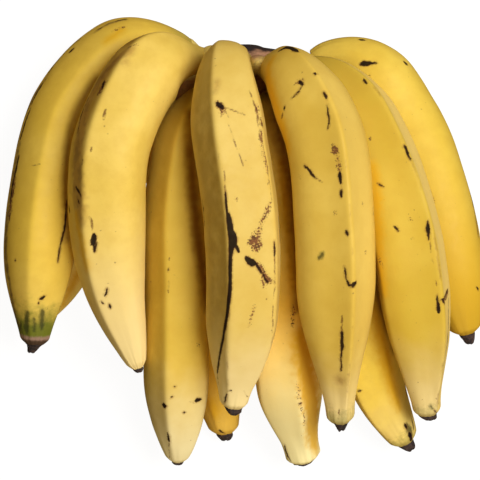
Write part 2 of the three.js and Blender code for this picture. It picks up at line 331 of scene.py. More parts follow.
MARKS["front_4"] = dict(
    ink=[
        (6.0, (279, 51), (285, 47.5), (291, 47), (298, 51)), (3.6, (299, 81), (303, 84)),
        (2.0, (303, 84), (297, 92), (291, 99)), (4.0, (315, 72), (315, 74)), (1.7, (302, 72)),
        (2.6, (285, 107), (283, 110)), (2.8, (323, 92), (326, 98)),
        (2.0, (327, 104), (329, 118), (328, 128)), (4.2, (340, 172), (341, 184)),
        (3.0, (304, 165), (310, 171), (316, 178)), (1.6, (316, 178), (323, 182)),
        (3.4, (341, 190), (341, 197)), (3.8, (345, 231), (347, 234)), (2.2, (345, 267), (346, 279)),
        (2.8, (346, 279), (349, 286), (354, 287)), (5.4, (353, 285), (356, 282)), (1.7, (353, 294)),
        (1.5, (359, 341)), (1.8, (342, 315), (342, 332)), (4.4, (342, 331), (342, 352)),
        (2.0, (342, 350), (341, 371)), (1.8, (339, 409), (339, 419)),
    ],
    painted_warm_shade=[(10.0, (273, 58), (268, 66), (268, 80), (275, 104), (282, 126), (288, 150))],
    rust=[
        (3.4, (296, 84), (304, 80)), (8.0, (333, 146), (336, 153)), (4.0, (338, 155), (340, 175)),
        (2.0, (299, 177)), (2.4, (363, 203)), (2.0, (335, 213)), (2.0, (366, 253)),
    ],
    scratch=[(2.4, (283, 113), (281, 118))],
    bruise=[(4.4, (323, 253), (319, 258))],
    stain=[(8.0, (340, 380))],
)
MARKS["front_5"] = dict(
    painted_warm_shade=[(9.0, (373, 165), (377, 200), (378, 230), (379, 262), (384, 292))],
    ink=[
        (2.6, (364, 79), (367, 84)), (4.0, (405, 146), (408, 155)), (2.4, (408, 155), (411, 161)),
        (2.2, (377, 184), (384, 187)), (2.2, (394, 225), (399, 230)), (5.4, (427, 224), (428, 234)),
        (2.6, (427, 219), (429, 240)), (1.6, (430, 242), (431, 252)), (1.6, (432, 258), (434, 264)),
        (1.5, (436, 280), (437, 287)), (2.4, (438, 295), (438, 306)), (4.0, (438, 302), (438, 312)),
        (3.0, (449, 290), (443, 299)), (2.4, (442, 299), (446, 304)), (2.2, (434, 410), (438, 414)),
    ],
    rust=[
        (2.4, (370, 139)), (2.2, (413, 239)), (2.2, (411, 220)), (6.5, (449, 291), (443, 300)),
        (1.6, (379, 258), (383, 268)),
    ],
    painted_edge_shade=[(5.0, (449, 300), (449, 320), (448, 345), (444, 365))],
    bruise=[(2.4, (430, 405), (433, 409))],
    scratch=[(1.4, (436, 398), (440, 406))],
)
MARKS["front_6"] = dict(
    ink=[
        (5.2, (361, 64), (371, 63)), (3.0, (360, 65), (376, 63)), (3.6, (359, 39.5), (365, 40.5)),
        (3.4, (404, 61), (408, 65)), (2.4, (476, 287), (478, 290)), (2.6, (474, 206), (470, 187)),
        (1.8, (477, 222), (479, 238)),
    ],
    rust=[(1.8, (370, 76)), (1.5, (428, 187), (434, 202))],
    painted_edge_shade=[(4.0, (466, 170), (472, 193), (476, 214), (479, 236))],
)
MARKS["back_1"] = dict(
    painted_warm_shade=[(9.0, (79, 272), (70, 290), (60, 309))],
)
MARKS["back_2"] = dict(
    painted_gap_shade=[(7.0, (192, 112), (191, 150), (193, 190), (198, 235), (203, 275), (207, 308))],
    ink=[
        (1.8, (151, 212)), (1.5, (151, 283)), (1.4, (169, 258), (169, 261)), (2.0, (168, 267), (168, 270)),
        (1.8, (168, 281), (168, 292)), (1.5, (189, 317)), (5.0, (162, 405), (166, 405)), (2.6, (172, 396)),
        (2.0, (175, 386)), (4.6, (196, 401), (202, 400)), (1.8, (190, 402), (195, 402)), (2.8, (185, 412)),
        (3.4, (168, 433), (169, 442)), (1.4, (169, 441), (170, 458)),
    ],
    rust=[(2.2, (146, 265)), (2.4, (198, 344))],
)
MARKS["back_3"] = dict(
    painted_warm_shade=[(8.0, (213, 402), (215, 416))],
    ink=[(3.0, (219, 430), (224, 433))],
)
MARKS["back_4"] = dict(
    painted_warm_shade=[
        (12.0, (283, 160), (288, 200), (293, 250), (296, 290)),
        (24.0, (300, 335), (305, 365), (309, 392), (313, 418), (316, 448)),
    ],
    ink=[(2.0, (284, 445), (287, 455), (291, 462)), (2.4, (301, 404))],
    rust=[(2.4, (293, 307), (293, 327)), (1.6, (297, 383), (301, 404), (305, 425))],
    painted_gap_shade=[
        (7.0, (270, 92), (277, 122), (283, 148), (289, 172), (292, 195), (296, 235), (298, 285), (298, 310)),
    ],
)
MARKS["back_5"] = dict(
    painted_warm_shade=[(12.0, (372, 305), (380, 340), (390, 375), (400, 408))],
    painted_gap_shade=[(1.5, (374, 276), (379, 300), (386, 325), (393, 350))],
    ink=[
        (2.4, (357, 391), (361, 390)), (3.2, (405, 424), (407, 429)), (5.0, (409, 434), (411, 441)),
        (2.4, (412, 418), (414, 430)),
    ],
    bruise=[(7.0, (407, 424), (410, 431), (411, 439))],
)

# ----------------------------------------
# Colours, in sRGB from 0 to 255.
# Among them: a painted light for one face, and painted shade, warm or dark brown, between fingers and along
# silhouettes.
PAINT = dict(
    stalk=(158, 142, 66), unripe=(98, 108, 30), collar=(82, 56, 54), collar_rim=(160, 126, 112),
    light_face=(250, 216, 122), ridge=(140, 96, 52), freckle=(126, 88, 50),
    stain=(170, 122, 56), dark_stain=(130, 86, 46), painted_warm_shade=(228, 174, 26), painted_gap_shade=(112, 58, 12),
    scratch=(112, 72, 38), painted_edge_shade=(92, 64, 46), bruise=(56, 60, 28),
    rusty_skin=(166, 108, 56), scab=(112, 62, 42), dark_scab=(70, 36, 32),
    halo=(150, 104, 50), ink_edge=(58, 26, 16), ink=(14, 4, 8),
    dry=(30, 21, 23), dry_light=(68, 50, 46),
    wood=(172, 116, 56), dark_wood=(140, 88, 46), stub=(222, 196, 104), fibre=(104, 72, 44),
    underside=(66, 46, 46), cut_rim=(178, 132, 102), cut=(36, 20, 24),
)
# A peel: its ground colours base, pale and deep. The colour of its tip, how far it reaches and how
# strong it is. The same for green at the tip. How far the dried collar reaches. How strong the
# ridges' lines are. The face left of the first ridge is multiplied by a painted shade, on front_2
# partly a brown stain, from one to the other of two distances to the tip, and the face right of it
# gets a painted light. How green the stalk is.
LOOK = dict(
    base=(228, 192, 86), pale=(238, 206, 106), deep=(204, 160, 58), gloss=0.12,
    tip=(248, 224, 160), tip_mm=62, tip_share=0.75, green=0.0, green_mm=30, collar_mm=-3,
    ridge_line=0.5, shade_and_stain=(0.55, 0.5, 0.42), shade_and_stain_share=0.0, shade_and_stain_mm=(22, 38), painted_light_share=0.0,
    stalk=0.75,
)
LOOKS = {
    "front_1": dict(
        base=(230, 194, 74), pale=(238, 204, 88), green=0.95, green_mm=36, tip_share=0.1, collar_mm=7,
        shade_and_stain=(0.8, 0.76, 0.66), shade_and_stain_share=0.4,
    ),
    "front_2": dict(
        base=(232, 198, 90), pale=(240, 208, 106), tip_mm=125, tip_share=0.85,
        shade_and_stain=(0.46, 0.33, 0.16), shade_and_stain_share=0.9, shade_and_stain_mm=(105, 190), stalk=0.4,
    ),
    "front_3": dict(
        base=(220, 188, 94), pale=(228, 198, 108), tip=(252, 230, 168), tip_mm=80, tip_share=0.85,
        shade_and_stain=(0.55, 0.5, 0.4), shade_and_stain_share=0.8, shade_and_stain_mm=(38, 78),
    ),
    "front_4": dict(base=(220, 184, 76), pale=(230, 196, 90), green=0.45, green_mm=16, painted_light_share=0.3),
    "front_5": dict(
        base=(210, 177, 62), pale=(219, 187, 74), tip_mm=70, green=0.3, green_mm=14, painted_light_share=0.9,
        stalk=0.4,
    ),
    "front_6": dict(
        base=(229, 195, 74), pale=(235, 203, 86), tip=(208, 164, 40), tip_share=0.9, tip_mm=150, stalk=0.15,
    ),
    # back_1's ground colours are lighter than the others': a painted light on a finger that lies in their
    # shade.
    "back_1": dict(base=(255, 226, 118), pale=(255, 232, 134), deep=(244, 204, 98), tip_share=0.2),
    "back_2": dict(
        base=(214, 180, 70), pale=(224, 190, 82), tip=(252, 236, 180), tip_share=1.0, tip_mm=85,
        shade_and_stain=(0.72, 0.66, 0.5), shade_and_stain_share=0.6, gloss=0.03,
    ),
    "back_3": dict(base=(226, 176, 48), pale=(232, 186, 60), tip_share=0.1),
    "back_4": dict(
        base=(240, 194, 68), pale=(245, 205, 90), tip=(255, 240, 176), tip_share=1.0, tip_mm=130,
    ),
    "back_5": dict(base=(243, 206, 70), pale=(249, 216, 86), green=0.4, green_mm=12, tip_share=0.4),
}


# ----------------------------------------
# Numbers: smooth steps, lattice noise and the finger's curve.
def smooth(t):
    t = np.clip(t, 0.0, 1.0)
    return t * t * (3.0 - 2.0 * t)


def lattice(cells, seed):
    """A repeatable number from 0 to 1 for each whole-numbered cell."""
    h = seed * SEED_STEP
    for k, step in enumerate(CELL_STEPS):
        h = h + cells[..., k].astype(np.int64) * step
    for shift, step in SCRAMBLE:
        h = (h ^ (h >> shift)) * step & LOW_BITS
    return (h % LEVELS) / (LEVELS - 1.0)


def noise(points, size, seed):
    """Smooth noise from -1 to 1 with features of that size, at points in the same unit."""
    place = points / size
    base = np.floor(place)
    share = smooth(place - base)
    total = np.zeros(points.shape[:-1])
    for corner in itertools.product((0, 1), repeat=3):
        x, y, z = (share[..., k] if far else 1 - share[..., k] for k, far in enumerate(corner))
        total += x * y * z * lattice(base + np.array(corner), seed)
    return total * 2 - 1


def spline(points):
    """Points along a centripetal Catmull-Rom curve through the given ones, and their distances."""
    p = np.array(points, float)
    p = np.vstack([2 * p[0] - p[1], p, 2 * p[-1] - p[-2]])
    pieces = []
    spans = len(points) - 1
    for i in range(spans):
        p0, p1, p2, p3 = p[i : i + 4]
        d0, d1, d2 = (np.linalg.norm(b - a) ** 0.5 for a, b in ((p0, p1), (p1, p2), (p2, p3)))
        t1 = ((p1 - p0) / d0 - (p2 - p0) / (d0 + d1) + (p2 - p1) / d1) * d1
        t2 = ((p2 - p1) / d1 - (p3 - p1) / (d1 + d2) + (p3 - p2) / d2) * d1
        t = np.linspace(0, 1, SPLINE_POINTS // spans, endpoint=i == spans - 1)[:, None]
        square = (-3 * p1 + 3 * p2 - 2 * t1 - t2) * t**2
        cube = (2 * p1 - 2 * p2 + t1 + t2) * t**3
        pieces.append(p1 + t1 * t + square + cube)
    line = np.vstack(pieces)
    distance = np.concatenate([[0], np.cumsum(np.linalg.norm(np.diff(line, axis=0), axis=1))])
    return line, distance


def along(line, distance, where):
    return np.stack([np.interp(where, distance, line[:, k]) for k in range(3)], axis=-1)


def radius_at(finger, s, length):
    """The finger's radius at each distance s along it, before the ridges."""
    grown = smooth((s - finger.get("stalk", SWELL_START)) / finger["swell"])
    full = finger["girth"] * (1 - BELLY * (2 * s / length - 1) ** 2)
    body = STALK_RADIUS + (full - STALK_RADIUS) * grown
    left = length - s
    narrowing = 1 - np.clip(left / finger["taper"], 0, 1)
    share = (1 - narrowing**2) ** finger["neck"]
    rounded = np.sin(np.pi / 2 * np.clip(left / TIP_ROUNDING, 0, 1))
    return (finger["end"] + (body - finger["end"]) * share) * (TIP_FLAT + (1 - TIP_FLAT) * rounded)


def ridged(angle, edges):
    """How far the skin lies at an angle from the first ridge, as a share of the radius.

    edges has each ridge's strength, from 0 where the skin is round to 1 where flat faces meet.
    """
    faces = len(edges)
    middles = (np.arange(faces).reshape(-1, 1) + 0.5) * 2 * np.pi / faces
    whole = np.linspace(0, 2 * np.pi, SECTION_POINTS)

    def polygon(angle):
        facing = np.clip(np.cos(angle - middles), 0, None)
        return (facing**RIDGE_SHARPNESS).sum(0) ** (-1 / RIDGE_SHARPNESS)

    def section(angle):
        place = (angle / (2 * np.pi) * faces) % faces
        low = np.floor(place).astype(int)
        share = smooth(place - low)
        strength = np.take(edges, low % faces) * (1 - share) + np.take(edges, (low + 1) % faces) * share
        return 1 + strength * (polygon(angle) / polygon(whole).mean() - 1)

    return section(angle) * MEAN_REACH / section(whole).mean()


def to_photo(points):
    """Points in the row frame, in mm, as the photograph's pixels."""
    p = points + MIDDLE
    scale = MM_PER_PIXEL * (1 - p[..., 2] / EYE_HEIGHT)
    return np.stack([PHOTO_MIDDLE + p[..., 0] / scale, PHOTO_MIDDLE - p[..., 1] / scale], axis=-1)


# ----------------------------------------
# Meshes.
def add_object(name, data):
    obj = bpy.data.objects.new(name, data)
    bpy.context.collection.objects.link(obj)
    return obj


def mesh_object(name, verts_mm, quads, tris, uv=None):
    """A smooth-shaded object from vertices in mm. quads and tris are arrays of vertex numbers."""
    mesh = bpy.data.meshes.new(name)
    loops = np.concatenate([quads.ravel(), tris.ravel()])
    sizes = np.repeat([4, 3], [len(quads), len(tris)])
    starts = np.cumsum(sizes) - sizes
    mesh.vertices.add(len(verts_mm))
    mesh.vertices.foreach_set("co", (verts_mm * MM).ravel().astype(np.float32))
    mesh.loops.add(len(loops))
    mesh.loops.foreach_set("vertex_index", loops.astype(np.int32))
    mesh.polygons.add(len(starts))
    mesh.polygons.foreach_set("loop_start", starts.astype(np.int32))
    mesh.polygons.foreach_set("loop_total", sizes.astype(np.int32))
    mesh.polygons.foreach_set("use_smooth", np.ones(len(starts), bool))
    mesh.update(calc_edges=True)
    if uv is not None:
        layer = mesh.uv_layers.new(name="OFBake")
        layer.data.foreach_set("uv", uv.ravel().astype(np.float32))
    mesh.validate()
    return add_object(name, mesh)


def tube_faces(rings, sides, turned=False):
    """Quads between neighbouring rings, and triangles that close the last ring and the first.

    The caps' middles are the two vertices after the rings: the last ring's, then the first's.
    """
    start, side = np.meshgrid(np.arange(rings - 1) * sides, np.arange(sides), indexing="ij")
    after = (side + 1) % sides
    corners = [start + side, start + after, start + sides + after, start + sides + side]
    quads = np.stack(corners, axis=-1).reshape(-1, 4)
    last, middle = (rings - 1) * sides, rings * sides
    far = np.stack([last + side[0], last + after[0], np.full(sides, middle)], axis=-1)
    near = np.stack([after[0], side[0], np.full(sides, middle + 1)], axis=-1)
    tris = np.vstack([far, near])
    if turned:
        return quads[:, [1, 0, 3, 2]], tris[:, [1, 0, 2]]
    return quads, tris


def attribute(obj, name, values):
    layer = obj.data.attributes.new(name, "FLOAT", "POINT")
    layer.data.foreach_set("value", np.asarray(values, np.float32).ravel())


# ----------------------------------------
# Fingers.
def stations(start, end, count):
    """Distances for the rings, closer together near both ends."""
    t = np.linspace(0, 1, count)
    crowded = (1 - np.cos(np.pi * t)) / 2
    return start + (end - start) * ((1 - RING_CROWDING) * t + RING_CROWDING * crowded)


def spine_frame(finger, line, distance, s):
    """The spine's points at the distances s, its direction there, and two directions across it."""
    centre = along(line, distance, s)
    ahead = along(line, distance, np.minimum(s + HALF_STEP, distance[-1]))
    tangent = ahead - along(line, distance, s - HALF_STEP)
    tangent /= np.linalg.norm(tangent, axis=1, keepdims=True)
    root, middle, tip = (np.array(finger["spine"][k], float) for k in (1, 3, 6))
    across = np.cross(middle - root, tip - middle)
    side = across - tangent * (tangent @ across)[:, None]
    side /= np.linalg.norm(side, axis=1, keepdims=True)
    return centre, tangent, side, np.cross(tangent, side)


def relief(finger, skin, s, theta, length, seed):
    """How far the skin's soft lumps and faint lengthwise ribs rise, in mm."""
    grown = smooth((s - SWELL_START) / finger["swell"])[:, None]
    calm = smooth((length - s) / SMOOTH_TIP)[:, None]
    lumps = sum(height * noise(skin, size, seed + k) for k, (size, height) in enumerate(LUMPS))
    to_tip = np.exp(-(length - s) / TIP_RIBS["run"])[:, None]
    to_stalk = np.exp(-(s - STUB_LENGTH + OVERLAP) / STALK_RIBS["run"])[:, None]
    rise, turn = np.meshgrid(s / RIB_LENGTH, theta, indexing="ij")
    ribs_at = np.stack([RIB_SPREAD * np.cos(turn), RIB_SPREAD * np.sin(turn), rise], axis=-1)
    ribs = noise(ribs_at, RIB_SIZE, seed + len(LUMPS))
    return lumps * grown * calm + ribs * (TIP_RIBS["height"] * to_tip + STALK_RIBS["height"] * to_stalk)


def finger_uv(s, sides):
    """The peel unrolled: round the finger in u, along it in v, and the two end caps as slivers."""
    v = UV_MARGIN + (1 - 2 * UV_MARGIN) * (s - s[0]) / (s[-1] - s[0])
    v0, u0 = np.meshgrid(v[:-1], np.arange(sides) / sides, indexing="ij")
    v1, u1 = np.meshgrid(v[1:], (np.arange(sides) + 1) / sides, indexing="ij")
    corners = ((u0, v0), (u1, v0), (u1, v1), (u0, v1))
    parts = [np.stack([np.stack(corner, -1) for corner in corners], axis=-2)]
    caps = ((u0[0], u1[0], 1 - UV_MARGIN, 1.0), (u1[0], u0[0], UV_MARGIN, 0.0))
    for first, second, edge, point in caps:
        corners = ((first, edge), (second, edge), ((first + second) / 2, point))
        parts.append(np.stack([np.stack([u, np.full(sides, at)], -1) for u, at in corners], axis=-2))
    return np.vstack([part.reshape(-1, 2) for part in parts])


def facets(edges, theta, radius, edged):
    """The distance in mm to the nearest ridge, and the shares of the faces beside the first one."""
    faces = len(edges)
    face = 2 * np.pi / faces
    place = theta * faces / (2 * np.pi)
    near = np.abs((place + 0.5) % 1 - 0.5) * face
    strong = np.take(edges, np.round(place).astype(int) % faces)
    ridge_mm = near[None, :] * radius + WEAK_RIDGE * (1 - strong[None, :]) + NO_RIDGE * (1 - edged)
    softness = FACE_EDGE + WEAK_FACE_EDGE * (1 - edges[0])

    def beside(turn):
        return (smooth(turn / softness) * smooth((face - turn) / FAR_FACE_EDGE))[None, :] * edged

    turn = theta % (2 * np.pi)
    return ridge_mm, beside(turn), beside(2 * np.pi - turn)


def finger_piece(name, finger, seed, rings, sides):
    """One plantain, from inside its stub on the crown to its blunt end.

    Returns it, its vertices in mm, and how far each of them faces up, from -1 to 1.
    """
    line, distance = spline(finger["spine"])
    length = distance[-1]
    s = stations(STUB_LENGTH - OVERLAP, length, rings)
    centre, tangent, side, outer = spine_frame(finger, line, distance, s)
    # More of the lengthwise edges lie on the half of the finger that faces up.
    upward = math.atan2(-side[rings // 2, 2], outer[rings // 2, 2])
    turn = np.arange(sides) * 2 * np.pi / sides
    angle = upward + turn - CROWDING * np.sin(turn)
    theta = angle + math.radians(finger["ridge"])
    edged = smooth((s - SWELL_START) / finger["grow"])[:, None]
    radius = radius_at(finger, s, length)[:, None]
    soft = smooth((length - s) / SOFT_TIP)[:, None] * (1 - TIP_EDGES) + TIP_EDGES
    reach = radius * (1 + (ridged(theta, finger["edges"])[None, :] - 1) * edged * soft)
    cosine, sine = np.cos(angle)[None, :, None], np.sin(angle)[None, :, None]
    direction = outer[:, None, :] * cosine - side[:, None, :] * sine
    skin = centre[:, None, :] + direction * reach[..., None]
    skin = skin + direction * relief(finger, skin, s, theta, length, seed)[..., None]
    cap = centre[-1] + tangent[-1] * CAP_BULGE
    verts = np.vstack([skin.reshape(-1, 3), cap, centre[0]]) - MIDDLE
    obj = mesh_object(name, verts, *tube_faces(rings, sides), finger_uv(s, sides))

    def spread(label, grid, at_tip=0.0, at_root=0.0):
        whole = np.broadcast_to(grid, (rings, sides)).ravel()
        attribute(obj, label, np.concatenate([whole, [at_tip, at_root]]))

    ridge_mm, left, right = facets(finger["edges"], theta, radius, edged)
    spread("to_tip", (length - s)[:, None], at_root=length)
    spread("from_stalk", (s - STUB_LENGTH)[:, None], at_tip=length)
    spread("left_face", left)
    spread("right_face", right)
    spread("ridge_mm", ridge_mm, NO_RIDGE, NO_RIDGE)
    return obj, verts, np.concatenate([direction[..., 2].ravel(), [-1.0, -1.0]])


# ----------------------------------------
# Marks.
def wander(points, seed):
    """Small smooth offsets in mm that make a drawn mark's edge and course uneven."""
    offsets = np.zeros(points.shape)
    for size, height, first in WANDERS:
        offsets += height * np.stack([noise(points, size, seed + first + k) for k in range(3)], axis=-1)
    return offsets


class Marks:
    """Distances in mm from each vertex to the edge of the nearest mark of each kind."""

    def __init__(self, verts, seed):
        self.verts = verts
        self.bent = verts + wander(verts, seed)
        self.uneven = 1 + UNEVENNESS * noise(verts, UNEVEN_SIZE, seed + 11)
        self.values = {kind: np.full(len(verts), MARK_REACH) for kind in KINDS}

    def draw(self, kind, width, spots):
        """A mark that many mm wide through the given vertices. It narrows towards its ends."""
        lone = len(spots) == 1
        path = self.verts[spots * 2 if lone else spots]
        steps = np.linalg.norm(np.diff(path, axis=0), axis=1)
        total = max(steps.sum(), TINY)
        near = np.linalg.norm(self.verts - path.mean(0), axis=1) < total + width + MARK_REACH
        straight = kind == "band"
        kind = "ink" if straight else kind
        where = (self.verts if straight else self.bent)[near]
        value = self.values[kind][near]
        even = straight or width < EVEN_WIDTH
        passed = 0.0
        for a, b, step in zip(path[:-1], path[1:], steps):
            ab = b - a
            t = np.clip(((where - a) @ ab) / max(ab @ ab, TINY), 0, 1)
            share = np.full(len(t), 0.5) if lone else (passed + t * step) / total
            narrowed = MARK_ENDS + (1 - MARK_ENDS) * np.clip(4 * share * (1 - share), 0, 1) ** 0.5
            half = width / 2 * narrowed * (1 if even else self.uneven[near])
            value = np.minimum(value, np.linalg.norm(where - a - t[:, None] * ab, axis=1) - half)
            passed += step
        self.values[kind][near] = value

    def attach(self, obj):
        for kind, value in self.values.items():
            attribute(obj, kind, value)


def photo_marks(marks, upward, drawn):
    """The marks that the photograph shows, laid on the skin that faces its camera."""
    seen = to_photo(marks.verts)
    facing = np.where(upward > LEAST_FACING)[0]

    def spot(point):
        """The vertex that shows at a point of the photograph."""
        off = ((seen[facing] - np.array(point)) ** 2).sum(1)
        near = off <= max(SPOT_REACH, off.min())
        height = marks.verts[facing[near], 2] - HEIGHT_PER_PIXEL * np.sqrt(off[near])
        return facing[near][np.argmax(height)]

    for kind, routes in drawn.items():
        for width, *points in routes:
            thin = kind == "ink" and width < THIN_MARK
            width_mm = width * MM_PER_PIXEL * SKIN_SCALE
            marks.draw("scratch" if thin else kind, width_mm, [spot(point) for point in points])


def stray_marks(marks, upward, rings, sides, rng):
    """Scratches and specks on the skin that the photograph doesn't show."""
    for _ in range(STRAY["tries"]):
        ring = rng.integers(STRAY["after_root"], rings - STRAY["before_tip"])
        side = rng.integers(0, sides)
        if upward[ring * sides + side] > STRAY["most_upward"]:
            continue
        reach = int(rng.choice(STRAY["lengths"]))
        lean = rng.integers(-STRAY["lean"], STRAY["lean"] + 1) if reach else 0
        spots = []
        for k in (0, reach // 2, reach):
            spots.append((ring + k) * sides + (side + round(lean * k / max(reach, 1))) % sides)
        kind = rng.choice(STRAY["kinds"])
        marks.draw(kind, float(rng.choice(STRAY["widths"])), spots if reach else spots[:1])


# ----------------------------------------
# Materials.
class Nodes:
    """A short way to write a node tree."""

    def __init__(self, name):
        self.material = bpy.data.materials.new(name)
        self.material.use_nodes = True
        self.tree = self.material.node_tree
        self.shader = self.tree.nodes["Principled BSDF"]
        self.colour = None

    def add(self, kind, inputs=(), **settings):
        node = self.tree.nodes.new(kind)
        for key, value in settings.items():
            setattr(node, key, value)
        for key, value in dict(inputs).items():
            self.put(node.inputs[key], value)
        return node

    def put(self, socket, value):
        if isinstance(value, bpy.types.NodeSocket):
            self.tree.links.new(value, socket)
        else:
            socket.default_value = value

    def surface(self, name, value):
        self.put(self.shader.inputs[name], value)

    def value(self, name):
        return self.add("ShaderNodeAttribute", attribute_name=name).outputs["Fac"]

    def math(self, operation, a, b=0.0, c=0.0):
        return self.add("ShaderNodeMath", enumerate((a, b, c)), operation=operation).outputs[0]

    def times(self, a, b):
        return self.math("MULTIPLY", a, b)

    def fade(self, value, low, high, to_low=0.0, to_high=1.0):
        inputs = {"Value": value, "From Min": low, "From Max": high, "To Min": to_low, "To Max": to_high}
        return self.add("ShaderNodeMapRange", inputs, interpolation_type="SMOOTHSTEP").outputs[0]

    def mix(self, share, a, b, blend="MIX"):
        inputs = {0: share, 6: a, 7: b}
        return self.add("ShaderNodeMix", inputs, data_type="RGBA", blend_type=blend).outputs[2]

    def lay(self, share, over, blend="MIX"):
        """Lays a colour, or a named paint, over the colour so far."""
        over = paint(over) if isinstance(over, str) else over
        self.colour = self.mix(share, self.colour, over, blend)

    def noise(self, size_mm, detail=2.0, rough=0.5):
        """Noise from 0 to 1 with features of that size on the object."""
        where = self.add("ShaderNodeTexCoord").outputs["Object"]
        inputs = {"Vector": where, "Scale": 1 / MM / size_mm, "Detail": detail, "Roughness": rough}
        return self.add("ShaderNodeTexNoise", inputs).outputs["Fac"]

    def jitter(self, size_mm, spread, detail=2.0, rough=0.5):
        """A number that wanders by up to half the spread either way."""
        return self.math("MULTIPLY_ADD", self.noise(size_mm, detail, rough), spread, -spread / 2)

    def patches(self, size_mm, low, high, to_low=0.0, to_high=1.0, detail=2.0, rough=0.5):
        """Patches of that size: to_low where the noise is under low, to_high where it is over high."""
        return self.fade(self.noise(size_mm, detail, rough), low, high, to_low, to_high)

    def mark(self, kind, outer, inner, share, uneven=None):
        """How much of a kind of mark shows, fading in between two distances in mm from its edge."""
        value = self.value(kind)
        if uneven is not None:
            value = self.math("ADD", value, uneven)
        return self.fade(value, outer, inner, 0, share)

    def bump(self, height, strength, depth_mm):
        inputs = {"Height": height, "Strength": strength, "Distance": depth_mm * MM}
        self.surface("Normal", self.add("ShaderNodeBump", inputs).outputs[0])


def srgb(red, green, blue):
    def linear(v):
        v /= 255
        return v / 12.92 if v <= 0.04045 else ((v + 0.055) / 1.055) ** 2.4

    return (linear(red), linear(green), linear(blue), 1.0)


def paint(name):
    return srgb(*PAINT[name])


def ripe_tones(n, look, rag):
    """The peel's own colours: mottled, paler at the tip, greener on the stalk, brown at the end."""
    base, pale = srgb(*look["base"]), srgb(*look["pale"])
    n.colour = n.mix(n.patches(46, 0.35, 0.7), base, pale)
    mottle = n.patches(9, 0.3, 0.75, detail=3, rough=0.6)
    n.lay(n.times(mottle, 0.22), srgb(*look["deep"]))
    to_tip, from_stalk = n.value("to_tip"), n.value("from_stalk")
    wavy = n.jitter(14, 22.0)
    at_tip = n.fade(n.math("ADD", to_tip, wavy), look["tip_mm"], 6, 0, look["tip_share"])
    n.lay(at_tip, srgb(*look["tip"]))
    on_stalk = n.fade(n.math("ADD", from_stalk, wavy), 30, -6, 0, look["stalk"])
    n.lay(on_stalk, "stalk")
    unripe = n.math("ADD", to_tip, n.math("MULTIPLY_ADD", wavy, 0.4, n.jitter(5, 22.0, 3, 0.65)))
    green = n.fade(unripe, look["green_mm"], look["green_mm"] * 0.3, 0, look["green"])
    n.lay(green, "unripe")
    ragged_tip = n.math("ADD", to_tip, n.times(rag, 1.2))
    collar = n.fade(ragged_tip, look["collar_mm"] + 1.0, look["collar_mm"] - 1.0, 0, 0.88)
    rim = n.fade(n.math("ADD", to_tip, rag), 3.2, 5.2)
    n.lay(collar, n.mix(rim, paint("collar"), paint("collar_rim")))


def face_tones(n, look):
    """Painted shade left of the first ridge, painted light right of it, and the ridges' brown lines."""
    # Painted shade darkens the face left of the first ridge; on front_2 it is partly a brown stain.
    shade_and_stain = n.times(n.value("left_face"), n.patches(11, 0.25, 0.6, 0.55, 1, 3, 0.55))
    shade_and_stain = n.times(shade_and_stain, look["shade_and_stain_share"])
    shade_and_stain = n.times(shade_and_stain, n.fade(n.value("to_tip"), *look["shade_and_stain_mm"]))
    n.lay(shade_and_stain, look["shade_and_stain"] + (1,), "MULTIPLY")
    # Painted light lightens the face right of the first ridge.
    light = n.times(n.value("right_face"), look["painted_light_share"])
    n.lay(light, "light_face")
    broken = n.patches(22, 0.5, 0.66, detail=3, rough=0.6)
    near = n.fade(n.math("MULTIPLY_ADD", n.noise(2.2), 1.6, n.value("ridge_mm")), 1.9, 0.9)
    line = n.times(n.times(near, broken), look["ridge_line"])
    n.lay(line, "ridge")


def soft_marks(n, rag, fine):
    """Freckles, stains, scratches, bruises and painted shade. Returns the share of painted gap shade."""
    freckle = n.times(n.patches(1.7, 0.735, 0.80, detail=1), n.patches(30, 0.5, 0.62))
    n.lay(n.times(freckle, 0.55), "freckle")
    darker = n.patches(6, 0.4, 0.65, detail=3, rough=0.6)
    stain = n.mix(darker, paint("stain"), paint("dark_stain"))
    n.lay(n.mark("stain", 4.0, -4.0, 0.7, rag), stain)
    # A deep yellow painted in as the warm shade where fingers shade each other.
    n.lay(n.mark("painted_warm_shade", 4.5, -3.5, 0.85, rag), "painted_warm_shade")
    # Dark brown painted in as the shade between two fingers.
    painted_gap_shade = n.mark("painted_gap_shade", 5.5, -2.5, 0.8)
    n.lay(painted_gap_shade, "painted_gap_shade")
    thinned = n.patches(4, 0.38, 0.56, 0.15, 1, 2, 0.6)
    scratch = n.times(n.mark("scratch", 0.5, -0.4, 0.85, fine), thinned)
    n.lay(scratch, "scratch")
    # A brown band painted in as the shade along a silhouette, broken into patches.
    patchy = n.patches(5, 0.3, 0.6, 0.45, 1, 3, 0.6)
    painted_edge_shade = n.times(n.mark("painted_edge_shade", 1.8, -1.8, 0.8, rag), patchy)
    n.lay(painted_edge_shade, "painted_edge_shade")
    n.lay(n.mark("bruise", 1.3, -1.3, 0.85, rag), "bruise")
    return painted_gap_shade


def scabs(n):
    """Rusty scabs, each a crowd of specks, closest together at its middle. Returns their share."""
    amount = n.mark("rust", 1.2, -2.2, 1)
    n.lay(n.times(amount, 0.5), "rusty_skin")
    crowd = n.math("MULTIPLY_ADD", amount, 0.2, n.noise(1.15, 2, 0.6))
    scab = n.times(n.fade(crowd, 0.575, 0.645, 0, 0.88), n.mark("rust", 1.6, 0.4, 1))
    scab_colour = n.mix(n.patches(2.5, 0.4, 0.6), paint("scab"), paint("dark_scab"))
    n.lay(scab, scab_colour)
    return scab


